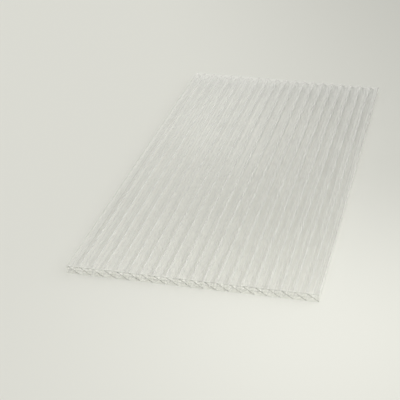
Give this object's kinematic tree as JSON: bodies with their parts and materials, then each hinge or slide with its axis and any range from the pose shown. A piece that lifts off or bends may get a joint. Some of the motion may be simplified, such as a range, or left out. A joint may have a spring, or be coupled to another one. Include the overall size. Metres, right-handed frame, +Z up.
{
  "type": "polycarbonate sheet",
  "caption": "Flat clear multiwall plastic glazing sheet with two skins, a middle wall, upright ribs and crossed diagonals, its channels open at both ends.",
  "frame": {"origin": "middle of the sheet's underside, on the surface it lies on", "axes": "+X across the ribs, +Y along the ribs and channels, +Z up through the thickness"},
  "size_m": [0.5, 1.12, 0.016],
  "materials": {
    "clear_polycarbonate": "gloss"
  },
  "bodies": {
    "root": {"polycarbonate_sheet": "clear_polycarbonate"}
  },
  "joints": []
}
